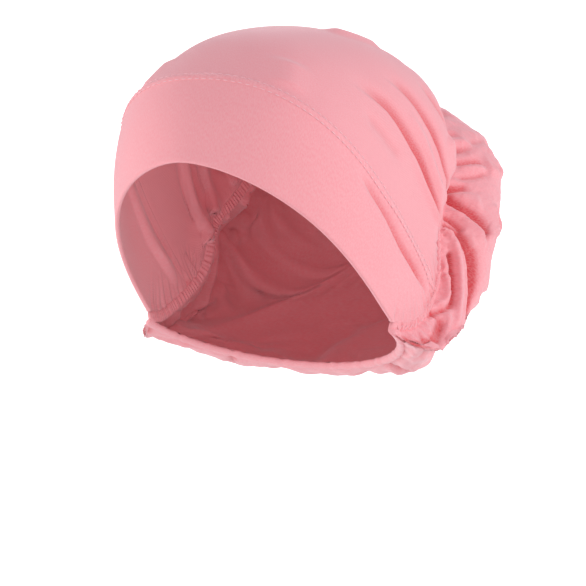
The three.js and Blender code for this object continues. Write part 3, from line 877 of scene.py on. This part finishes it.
def makePouch():
    around, out = pouchColumns(pouch["columns"]), np.linspace(0, 1, pouch["rows"] + 1) ** 1.5
    around[-1] = 0
    base = pouchPlaces(around, out)
    around[-1] = 1
    normals = gridNormals(base, base - np.array([0, 0.06, -0.005]))
    normals[:, -1] = normals[:, 0]
    arch = fade(around, 0, 0.03) * fade(pouchArch - around, 0, 0.03)
    pucker = pouch["pucker"] * (ripple(around * 0.6, pouch["puckerPitch"], 5) * arch)[None, :]
    pucker = pucker * (np.exp(-out / 0.05) * fade(out, -0.01, 0.03))[:, None]
    folds = foldHeight(pouchFolds, base)
    # At the two ear corners the cloth is too tight for deep folds and forms
    corners = base[0, 0], base[0, 0] * np.array([-1, 1, 1])
    away = np.minimum(*(np.linalg.norm(base - corner, axis=-1) for corner in corners))
    shallow = mix(pouch["cornerFolds"], 1, fade(away, 0.01, 0.06))
    forms = foldHeight(pouchForms, base) * fade(away, 0.01, 0.04)
    ends = (fade(1 - out, 0, 0.1) * fade(out, 0, 0.025))[:, None]
    height = (pucker + folds * shallow + forms) * ends
    places = base + relaxedPouch(around, out) + normals * height[..., None]
    # The cut is a round of cloth whose rim is gathered
    turn = around * 2 * math.pi
    flat = np.stack([np.cos(turn), np.sin(turn)], -1)[None] * (1 - out)[:, None, None] * pouch["flatRadius"]
    # Painted shade: the colour darkens in the fold valleys and the dips of the puckers
    paintedShade = np.clip((pucker * foldShadeScale["pucker"] + folds) / -foldShadeScale["pouchDepth"], -0.3, 1.4)
    inside = makeInside("pouchInside", places, normals, flat, True)
    return clothGrid("backPouch", places, flat, True, paintedShade), inside


# The turned hem round the nape, from ear corner to ear corner
hem = {
    "columns": 420,
    "around": 16,
    "from": 0.768,
    "to": 1.012,
    "tip": 0.012,
    "length": 0.16,
    "half": 0.0026,
    "thick": 0.0013,
    "pitch": 0.0045,
    "pucker": 0.12,
    "flat": (0.3, 0.014),
}


def makeHem():
    us, vs = np.linspace(0, 1, hem["columns"] + 1), np.linspace(0, 1, hem["around"] + 1)
    around = mix(hem["from"], hem["to"], us)
    base = pouchPlaces(around, np.array([0, 0.012]))
    line = base[0]
    along, down = unit(np.gradient(line, axis=0)), unit(base[1] - base[0])
    out = unit(np.cross(along, down))
    taper = np.sqrt(1 - (1 - np.clip(np.minimum(us, 1 - us) / hem["tip"], 0, 1)) ** 2)
    swell = (1 + hem["pucker"] * ripple(us * hem["length"], hem["pitch"], 21)) * taper
    angle = vs[:, None] * 2 * math.pi
    x, y = np.cos(angle) * hem["half"] * swell, np.sin(angle) * hem["thick"] * swell
    places = (line + down * hem["half"] * 0.75)[None] + down[None] * x[..., None] + out[None] * y[..., None]
    return clothGrid("napeHem", places.transpose(1, 0, 2), flatPlaces(vs, us, hem["flat"][::-1]), True)


# Knit jersey. The fine ribs follow the cloth through its flat cut's own coordinates, in metres.
jersey = {
    "pink": (0.95, 0.362, 0.398),
    # deep is painted shade: the darker coral that the colour takes on in fold valleys, creases and the elastic's
    # puckers
    "deep": (0.74, 0.088, 0.102),
    "ribPitch": 0.0008,
    "ribs": 0.35,
    "roughness": 0.92,
    "specular": 0.2,
    "sheen": 0.7,
    "sheenRoughness": 0.5,
    "sheenTint": (1.0, 0.82, 0.86),
}


def makeJersey(name):
    material = bpy.data.materials.new(name)
    material.use_nodes = True
    nodes, links = material.node_tree.nodes, material.node_tree.links
    shader = nodes["Principled BSDF"]
    shader.inputs["Roughness"].default_value = jersey["roughness"]
    shader.inputs["Specular IOR Level"].default_value = jersey["specular"]
    shader.inputs["Sheen Weight"].default_value = jersey["sheen"]
    shader.inputs["Sheen Roughness"].default_value = jersey["sheenRoughness"]
    shader.inputs["Sheen Tint"].default_value = (*jersey["sheenTint"], 1)
    places = nodes.new("ShaderNodeTexCoord")

    def noise(scale, detail, at=places.outputs["Object"]):
        node = nodes.new("ShaderNodeTexNoise")
        node.inputs["Scale"].default_value = scale
        node.inputs["Detail"].default_value = detail
        links.new(at, node.inputs["Vector"])
        return node.outputs["Fac"]

    def blend(kind, share, a, b):
        node = nodes.new("ShaderNodeMix")
        node.data_type = "RGBA"
        node.blend_type = kind
        node.clamp_factor = True
        for socket, value in ((0, share), (6, a), (7, b)):
            if isinstance(value, bpy.types.NodeSocket):
                links.new(value, node.inputs[socket])
            else:
                node.inputs[socket].default_value = value
        return node.outputs[2]

    def ramp(value, low, high, fromLow=0.0, fromHigh=1.0):
        node = nodes.new("ShaderNodeMapRange")
        node.interpolation_type = "SMOOTHSTEP"
        links.new(value, node.inputs["Value"])
        for key, number in (("From Min", fromLow), ("From Max", fromHigh), ("To Min", low), ("To Max", high)):
            node.inputs[key].default_value = number
        return node.outputs["Result"]

    pink, deep = ((*jersey[key], 1) for key in ("pink", "deep"))
    # Painted shade: the colour mixes toward the darker coral by how deep the cloth lies in a fold or crease
    paintedShade = nodes.new("ShaderNodeAttribute")
    paintedShade.attribute_name = "paintedShade"
    foldShaded = blend("MIX", ramp(paintedShade.outputs["Fac"], 0, 1, 0.05, 1.05), pink, deep)
    # Mottled yarn, drawn out along the wales
    drawn = nodes.new("ShaderNodeMapping")
    drawn.inputs["Scale"].default_value = (1, 0.4, 1)
    links.new(places.outputs["UV"], drawn.inputs["Vector"])
    heather = noise(1500, 3, drawn.outputs["Vector"])
    lit = blend("MIX", ramp(heather, 0, 0.16, 0.35, 0.65), foldShaded, (1, 0.78, 0.8, 1))
    cloud = blend("MULTIPLY", ramp(noise(30, 3), 0, 0.08, 0.4, 0.7), lit, (0.9, 0.75, 0.78, 1))
    links.new(cloud, shader.inputs["Base Color"])
    # Fine ribs of the knit, along the cut
    wave = nodes.new("ShaderNodeTexWave")
    wave.wave_type = "BANDS"
    wave.bands_direction = "X"
    wave.inputs["Scale"].default_value = 0.314 / jersey["ribPitch"]
    wave.inputs["Distortion"].default_value = 0.6
    wave.inputs["Detail"].default_value = 1.0
    links.new(places.outputs["UV"], wave.inputs["Vector"])
    bump = nodes.new("ShaderNodeBump")
    bump.inputs["Strength"].default_value = jersey["ribs"]
    bump.inputs["Distance"].default_value = 0.0002
    links.new(wave.outputs["Fac"], bump.inputs["Height"])
    fuzz = nodes.new("ShaderNodeBump")
    fuzz.inputs["Strength"].default_value = 0.3
    fuzz.inputs["Distance"].default_value = 0.0003
    links.new(heather, fuzz.inputs["Height"])
    links.new(bump.outputs["Normal"], fuzz.inputs["Normal"])
    links.new(fuzz.outputs["Normal"], shader.inputs["Normal"])
    return material


def makeThread():
    material = bpy.data.materials.new("thread")
    material.use_nodes = True
    shader = material.node_tree.nodes["Principled BSDF"]
    shader.inputs["Base Color"].default_value = (0.95, 0.56, 0.6, 1)
    shader.inputs["Roughness"].default_value = 0.6
    return material


def dress(piece, material, replaced=None):
    piece.data.materials.clear()
    piece.data.materials.append(material)
    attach(piece, "root")
    if replaced:
        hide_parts(replaced)


# A round white studio: a pale floor that curves up into its wall. The wall glows least behind the camera, so that the
# light comes from the two sides.
studio = {
    "radius": 4.0,
    "floor": -0.9,
    "wall": 3.2,
    "bend": 1.2,
    "glow": 0.45,
    "glowBehindCap": 1.1,
    "zenith": (0.66, 0.61, 0.69),
    "zenithGlow": 0.5,
}


def makeStudio():
    bm = bmesh.new()
    bend = studio["bend"]
    profile = [Vector((0, 0, 0))]
    for i in range(13):
        angle = i / 12 * math.pi / 2
        profile.append(Vector((studio["radius"] - bend + bend * math.sin(angle), 0, bend * (1 - math.cos(angle)))))
    profile.append(Vector((studio["radius"], 0, studio["wall"])))
    verts = [bm.verts.new(p) for p in profile]
    edges = [bm.edges.new(pair) for pair in zip(verts, verts[1:])]
    bmesh.ops.spin(bm, geom=verts + edges, axis=(0, 0, 1), angle=math.tau, steps=64, use_merge=True)
    bmesh.ops.remove_doubles(bm, verts=bm.verts, dist=1e-5)
    bmesh.ops.translate(bm, verts=bm.verts, vec=(0, 0, studio["floor"]))
    for face in bm.faces:
        face.smooth = True
    bmesh.ops.recalc_face_normals(bm, faces=bm.faces)
    piece = makeObject("studioFloor", bm)
    material = bpy.data.materials.new("paleFloor")
    material.use_nodes = True
    nodes, links = material.node_tree.nodes, material.node_tree.links
    shader = nodes["Principled BSDF"]
    shader.inputs["Base Color"].default_value = (0.5, 0.5, 0.5, 1)
    shader.inputs["Roughness"].default_value = 1
    shader.inputs["Emission Color"].default_value = (1, 1, 1, 1)
    places = nodes.new("ShaderNodeTexCoord")
    towards = nodes.new("ShaderNodeVectorMath")
    towards.operation = "DOT_PRODUCT"
    links.new(places.outputs["Object"], towards.inputs[0])
    towards.inputs[1].default_value = direction(photo["azimuth"]) / studio["radius"]
    glow = nodes.new("ShaderNodeMapRange")
    glow.interpolation_type = "SMOOTHSTEP"
    links.new(towards.outputs["Value"], glow.inputs["Value"])
    for key, number in (
        ("From Min", -0.96),
        ("From Max", -0.6),
        ("To Min", studio["glowBehindCap"]),
        ("To Max", studio["glow"]),
    ):
        glow.inputs[key].default_value = number
    links.new(glow.outputs["Result"], shader.inputs["Emission Strength"])
    piece.data.materials.append(material)


# Soft lights as azimuth from the front, height, distance, size and power
lamps = {
    "leftLight": {"azimuth": -62, "elevation": 8, "distance": 1.8, "size": 1.0, "power": 13, "color": (1, 0.97, 0.95)},
    "rightLight": {"azimuth": 98, "elevation": 20, "distance": 1.8, "size": 0.8, "power": 12.5, "color": (1, 0.98, 1)},
    "frontLight": {"azimuth": 0, "elevation": 18, "distance": 2.2, "size": 1.4, "power": 2.4, "color": (1, 0.97, 0.97)},
}


def lightStudio():
    world = bpy.context.scene.world or bpy.data.worlds.new("world")
    bpy.context.scene.world = world
    world.use_nodes = True
    world.node_tree.nodes["Background"].inputs["Color"].default_value = (*studio["zenith"], 1)
    world.node_tree.nodes["Background"].inputs["Strength"].default_value = studio["zenithGlow"]
    for name, row in lamps.items():
        light = bpy.data.lights.new(name, "AREA")
        light.shape = "DISK"
        light.size, light.energy, light.color = row["size"], row["power"], row["color"]
        lamp = bpy.data.objects.new(name, light)
        towards = direction(row["azimuth"], row["elevation"])
        lamp.location = Vector((0, 0.02, -0.09)) + towards * row["distance"]
        lamp.rotation_euler = (-towards).to_track_quat("-Z", "Y").to_euler()
        bpy.context.collection.objects.link(lamp)
    bpy.context.scene.view_settings.view_transform = "Standard"


makeCamera()
makeStudio()
lightStudio()
print("camera and studio ready")

knit = makeJersey("jersey")
thread = makeThread()
frontBand = makeBand()
dress(frontBand, knit, "front_band")
print("band made")
crownPanel, crownInside = makeCrown()
dress(crownInside, knit)
dress(crownPanel, knit, "crown_panel")
print("crown made")
bandSeam = makeSeam()
dress(bandSeam, knit, "band_seam")
seamStitches = makeSeamStitches()
dress(seamStitches, thread)
gatherElastic = makeElastic()
dress(gatherElastic, knit, "gather_elastic")
cornerStitches = makeCornerStitches()
dress(cornerStitches, thread)
print("seam and elastic made")
backPouch, pouchInside = makePouch()
dress(pouchInside, knit)
dress(backPouch, knit, "back_pouch")
napeHem = makeHem()
dress(napeHem, knit)
print("pouch made")
